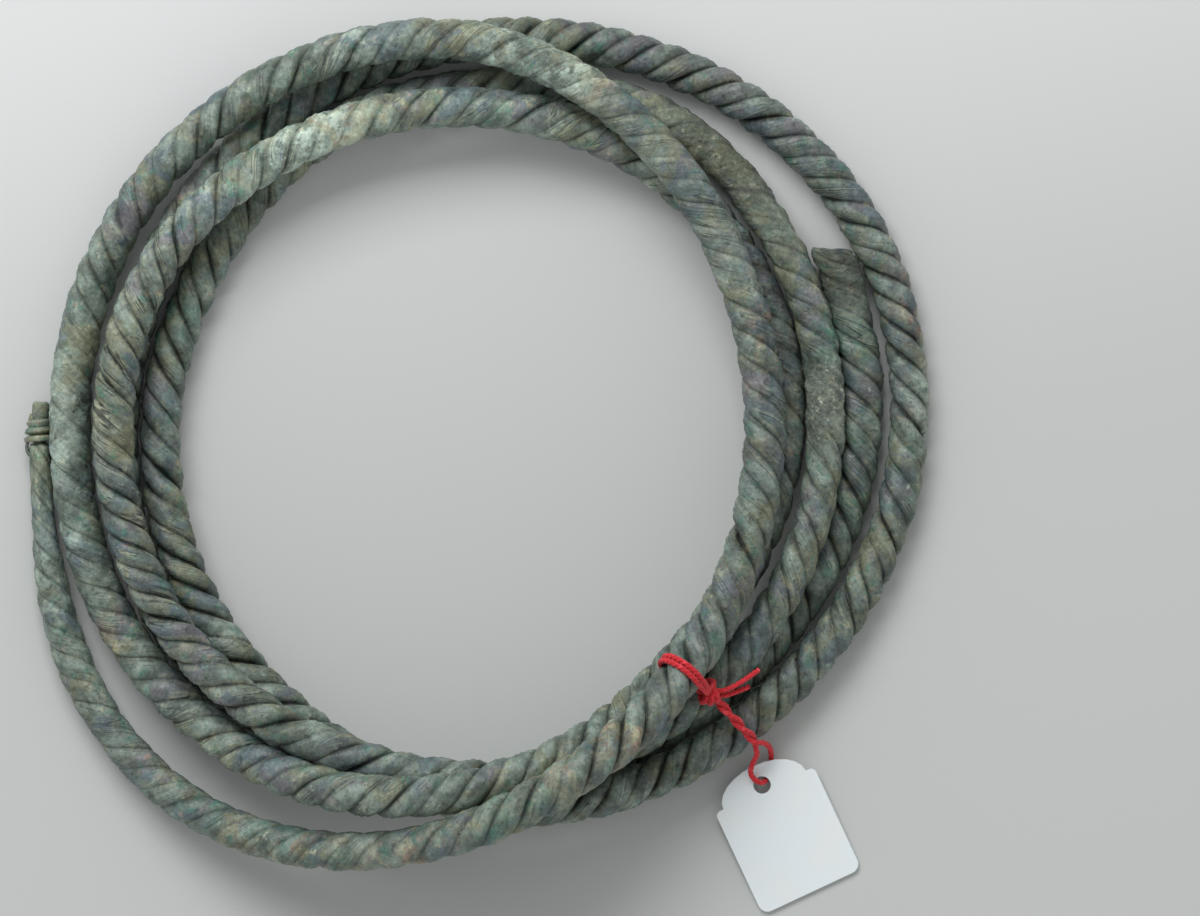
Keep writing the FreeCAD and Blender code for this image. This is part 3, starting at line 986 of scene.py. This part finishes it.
def blend(tree, share, first, second):
    """Two colours blended by a share."""
    inputs = {0: share}
    for place, value in ((6, first), (7, second)):
        inputs[place] = value if isinstance(value, bpy.types.NodeSocket) else (*value, 1)
    return node(tree, "ShaderNodeMix", inputs, data_type="RGBA", clamp_factor=True).outputs[2]


def layer(tree, under, over, share, strength):
    """A tone laid over another as strongly as it can show, where share is 1."""
    return blend(tree, product(tree, share, strength), under, over)


def blotch(tree, where, name):
    """Blotches from 0 to 1, by their name in BLOTCHES."""
    low, high, *shape = BLOTCHES[name]
    return band(tree, cloud(tree, where, *shape), low, high)


def mottle(tree, where, name):
    """Mottling with no hard edges, by its name in MOTTLES."""
    low, high, *shape = MOTTLES[name]
    inputs = {"Value": cloud(tree, where, *shape), "From Min": MOTTLE_SPAN[0],
              "From Max": MOTTLE_SPAN[1], "To Min": low, "To Max": high}
    return node(tree, "ShaderNodeMapRange", inputs).outputs["Result"]


def line_at(tree, level, middle, near, far):
    """Lines where a level crosses its middle: 1 nearer than near, 0 beyond far."""
    away = sums(tree, "ABSOLUTE", sums(tree, "SUBTRACT", level, middle), 0.0)
    return sums(tree, "SUBTRACT", 1.0, band(tree, away, near, far))


def drawn_out(tree, where, share):
    """Places for noise that is drawn out along Z."""
    inputs = {0: where, 1: (1, 1, share)}
    return node(tree, "ShaderNodeVectorMath", inputs, operation="MULTIPLY").outputs[0]


def bump(tree, height, strength, distance):
    """The normal of a surface with bumps on it."""
    inputs = {"Strength": strength, "Distance": distance, "Height": height}
    return node(tree, "ShaderNodeBump", inputs).outputs["Normal"]


def kept(tree, name, output="Fac"):
    """Values that a piece keeps on its vertices."""
    return node(tree, "ShaderNodeAttribute", attribute_name=name).outputs[output]


def new_finish(name):
    """A new material, its nodes and its shader."""
    finish = bpy.data.materials.new(name)
    finish.use_nodes = True
    return finish, finish.node_tree, finish.node_tree.nodes["Principled BSDF"]


def patina_group():
    """Verdigris over bronze: grey-green, with olive, slate, teal, rusty and pale patches."""
    tree = bpy.data.node_groups.new("patina", "ShaderNodeTree")
    new_socket = tree.interface.new_socket
    for label in ("Where", "Lay"):
        new_socket(label, in_out="INPUT", socket_type="NodeSocketVector")
    for label in MARKS:
        socket = new_socket(label.capitalize(), in_out="INPUT", socket_type="NodeSocketFloat")
        socket.default_value = 1.0 if label == "light" else 0.0
    new_socket("Color", in_out="OUTPUT", socket_type="NodeSocketColor")
    for label in ("Roughness", "Height"):
        new_socket(label, in_out="OUTPUT", socket_type="NodeSocketFloat")
    given = tree.nodes.new("NodeGroupInput").outputs
    where = given["Where"]

    tone = blend(tree, blotch(tree, where, "green"), DEEP_GREEN, GREY_GREEN)
    slate = blend(tree, blotch(tree, where, "purple"), SLATE_BLUE, SLATE_PURPLE)
    earth = blend(tree, blotch(tree, where, "khaki"), RUST, KHAKI)
    colours = {"olive": OLIVE, "slate": slate, "teal": TEAL, "rust": earth, "pale": MINT}
    for label, colour in colours.items():
        patch = product(tree, given[label.capitalize()], blotch(tree, where, label + " patch"))
        shown = sums(tree, "ADD", blotch(tree, where, label), patch)
        tone = layer(tree, tone, colour, shown, STRENGTHS[label])
    crust = product(tree, given["Crust"], blotch(tree, where, "crust"))
    tone = layer(tree, tone, CRUST, crust, STRENGTHS["crust"])

    drawn = drawn_out(tree, given["Lay"], fold_stretch)
    level = cloud(tree, drawn, *FOLD_NOISE)
    shown = product(tree, given["Fold"], blotch(tree, where, "fold"))
    crease = product(tree, line_at(tree, level, *CREASE), shown)
    lip = product(tree, line_at(tree, level, *FOLD_LIP), shown)
    deep = band(tree, given["Groove"], *POWDER_DEPTHS)
    powder = product(tree, deep, blotch(tree, where, "powder"))
    powder_tone = blend(tree, blotch(tree, where, "powder tone"), TEAL, KHAKI)
    tone = layer(tree, tone, powder_tone, powder, STRENGTHS["powder"])
    edge = product(tree, given["Edge"], blotch(tree, where, "edge"))
    edge = sums(tree, "MULTIPLY", edge, sums(tree, "ADD", least_edge, given["Fold"]), True)
    tone = layer(tree, tone, LIP, edge, STRENGTHS["edge"])
    tone = layer(tree, tone, LIP, lip, STRENGTHS["lip"])
    tone = layer(tree, tone, DIRT_AND_SHADE, crease, STRENGTHS["crease"])

    # Packed dirt deep in the grooves, specks, and the darker patches, which on the inner side of two
    # turns are painted shade
    deepest = band(tree, given["Groove"], *PACKED_DEPTHS)
    packed = product(tree, deepest, mottle(tree, where, "packed"))
    dark = product(tree, given["Dark"], blotch(tree, where, "dark"))
    specks = product(tree, blotch(tree, where, "specks"), STRENGTHS["specks"])
    dirt_and_shade = sums(tree, "ADD", sums(tree, "MAXIMUM", packed, dark), specks, True)
    tone = layer(tree, tone, DIRT_AND_SHADE, dirt_and_shade, STRENGTHS["dirt_and_shade"])

    # Painted light and shade: the tone is made lighter on each ridge's crest and darker down its
    # grooves
    shade = product(tree, given["Groove"], groove_painted_shade)
    light = product(tree, mottle(tree, where, "fine"), mottle(tree, drawn, "drawn"),
                    mottle(tree, where, "broad"), given["Light"],
                    sums(tree, "SUBTRACT", crest_painted_light, shade))
    tone_with_painted_light = node(tree, "ShaderNodeVectorMath", {0: tone, "Scale": light}, operation="SCALE").outputs[0]

    dull = product(tree, given["Crust"], crust_dullness)
    rough = sums(tree, "ADD", mottle(tree, where, "gloss"), dull, True)
    height = cloud(tree, where, *GRAIN_NOISE)
    facets = cloud(tree, where, *FACET_NOISE)
    for part, rise in zip((facets, crust, lip, crease), RISES):
        height = sums(tree, "ADD", height, product(tree, part, rise))
    feed(tree, tree.nodes.new("NodeGroupOutput"), {"Color": tone_with_painted_light, "Roughness": rough, "Height": height})
    return tree


def bronze(name, patina, marked):
    """The corroded bronze of the bar, which has its patches marked, or of the pin and the wire."""
    finish, tree, shader = new_finish(name)
    skin = node(tree, "ShaderNodeGroup", node_tree=patina)
    if marked:
        inputs = {"Where": kept(tree, "spot", "Vector"), "Lay": kept(tree, "lay", "Vector")}
        for label in MARKS:
            inputs[label.capitalize()] = kept(tree, label)
    else:
        where = node(tree, "ShaderNodeTexCoord").outputs["Object"]
        inputs = {"Where": where, "Olive": wire_olive, "Light": wire_light}
    feed(tree, skin, inputs)
    feed(tree, shader, {
        "Base Color": skin.outputs["Color"],
        "Roughness": skin.outputs["Roughness"],
        "Specular IOR Level": 0.45,
        "Normal": bump(tree, skin.outputs["Height"], strength=1.0, distance=0.00026),
    })
    return finish


def red_thread():
    """Dyed thread: matt red fibres that follow the twist."""
    finish, tree, shader = new_finish("red_thread")
    where = kept(tree, "lay", "Vector")
    fibres = cloud(tree, drawn_out(tree, where, fibre_stretch), *FIBRE_NOISE)
    tone = blend(tree, band(tree, fibres, *FIBRE_BAND), THREAD_DEEP, THREAD_BRIGHT)
    tone = blend(tree, blotch(tree, where, "faded thread"), tone, THREAD_PINK)
    rise = bump(tree, fibres, strength=0.8, distance=0.00008)
    feed(tree, shader, {"Base Color": tone, "Roughness": 0.75, "Sheen Weight": 0.15, "Normal": rise})
    return finish


def white_card():
    """Smooth white card with a faint grain, a little uneven in tone."""
    finish, tree, shader = new_finish("white_card")
    where = node(tree, "ShaderNodeTexCoord").outputs["Object"]
    tone = blend(tree, blotch(tree, where, "card"), CARD_WHITE, CARD_WARM)
    grain = cloud(tree, where, *CARD_NOISE)
    tone = layer(tree, tone, CARD_GREY, band(tree, grain, *CARD_BAND), STRENGTHS["card"])
    rise = bump(tree, grain, strength=0.25, distance=0.00003)
    feed(tree, shader, {"Base Color": tone, "Roughness": 0.6, "Normal": rise})
    return finish


def dress(piece, finish, slot, body, *nodes):
    """Give a piece its finish, its body and the solids that it stands for."""
    piece.data.materials.clear()
    piece.data.materials.append(finish)
    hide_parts(*nodes)
    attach(piece, body)


def stage():
    """The table, the camera straight above it and the light."""
    deselect()
    bpy.ops.mesh.primitive_plane_add(size=table_size, location=(0, 0, -table_drop))
    table = bpy.context.object
    table.name = "table"
    finish, tree, shader = new_finish("pale_table")
    where = node(tree, "ShaderNodeTexCoord").outputs["Object"]
    # Painted light: the table's tone grows lighter along one way
    slope = node(tree, "ShaderNodeVectorMath", {0: where, 1: PAINTED_LIGHT_WAY}, operation="DOT_PRODUCT")
    tone = blend(tree, band(tree, slope.outputs["Value"], *PAINTED_LIGHT_SPAN), TABLE, TABLE_PAINTED_LIGHT)
    feed(tree, shader, {"Base Color": tone, "Roughness": 0.7})
    table.data.materials.append(finish)
    camera = bpy.data.cameras.new("camera")
    camera.sensor_width = camera_sensor
    camera.lens = camera_sensor * camera_height / view_width
    camera.clip_end = camera_reach
    eye = placed("camera", camera)
    eye.location = (*VIEW_MIDDLE, camera_height)
    bpy.context.scene.camera = eye
    window()
    world = bpy.data.worlds.new("room")
    world.use_nodes = True
    room = world.node_tree
    way = node(room, "ShaderNodeTexCoord").outputs["Generated"]
    inputs = {"Value": node(room, "ShaderNodeSeparateXYZ", {0: way}).outputs["Z"],
              "To Min": light_from_sides, "To Max": light_from_above}
    strength = node(room, "ShaderNodeMapRange", inputs).outputs["Result"]
    feed(room, room.nodes["Background"], {"Color": (1, 1, 1, 1), "Strength": strength})
    bpy.context.scene.world = world
    bpy.context.scene.view_settings.view_transform = "Standard"


def window():
    """The soft lamp, which points at the ring."""
    light = bpy.data.lights.new("window", "AREA")
    light.shape = "RECTANGLE"
    light.size = window_width
    light.size_y = window_depth
    light.energy = window_power
    lamp = placed("window", light)
    lamp.location = WINDOW_PLACE
    lamp.rotation_euler = (-Vector(WINDOW_PLACE)).to_track_quat("-Z", "Y").to_euler()


stage()
patina = patina_group()
bar_metal = bronze("patinated_bronze", patina, True)
wire_metal = bronze("patinated_wire", patina, False)
thread_red = red_thread()
card_stock = white_card()

bar_line = smooth_line("bar_line", coil_places())
bar_rows = line_points(bar_line)
bar = twisted_bar(bar_line)
dress(bar, bar_metal, "patinated_bronze", "ring", "ring_bar")
bpy.data.objects.remove(bar_line)

shoulder = Vector(bar_rows[0])
forward = (shoulder - Vector(bar_rows[1])).normalized()
forward = Matrix.Rotation(-pin_lean, 3, "Z") @ forward
dress(pin(shoulder, forward), wire_metal, "patinated_bronze", "ring", "ring_bar")
dress(wire_binding(shoulder, forward), wire_metal, "patinated_wire", "ring", "end_binding")

low_corner, high_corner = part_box("thread_knot")
knot = Vector((low_corner + high_corner) / 2)
dress(thread_loop(knot), thread_red, "red_thread", "ring", "thread_loop")
coils = thread("thread_knot_coils", route(knot, KNOT_ROUTE), thread_diameter * knot_thickness)
dress(coils, thread_red, "red_thread", "ring", "thread_knot")
tails = []
for table in TAIL_ROUTES:
    tails.append(thread("tail", route(knot, table), thread_diameter * tail_thickness))
dress(joined("thread_tail_ends", tails), thread_red, "red_thread", "ring", "thread_tails")

crossed, crossed_along, crossed_outward = bar_place(over_deg)
hole = crossed + crossed_outward * (bar_diameter / 2 + hole_gap) + crossed_along * hole_shift
hole.z = 0
lead_points = route(knot, LEAD_START)
lead_points += route(crossed, OVER_SHARES, bar_diameter)
lead_points += route(hole, LEAD_TAG)
lead_points += route(crossed, BACK_SHARES, bar_diameter)
lead_points += route(knot, LEAD_END)
lead_route = thread_route("lead_route", lead_points)
lead_rows = halves_twisted(line_points(lead_route))
bpy.data.objects.remove(lead_route)
lead_corners = np.concatenate([lead_rows[:-lead_stride // 2:lead_stride], lead_rows[-1:]])
lead_line = smooth_line("lead_line", lead_corners)
lead = spun("tag_lead", lead_line, thread_diameter * lead_thickness)
dress(lead, thread_red, "red_thread", "ring", "tag_thread")
dress(outlined_card(hole), card_stock, "white_card", "tag", "tag_card")
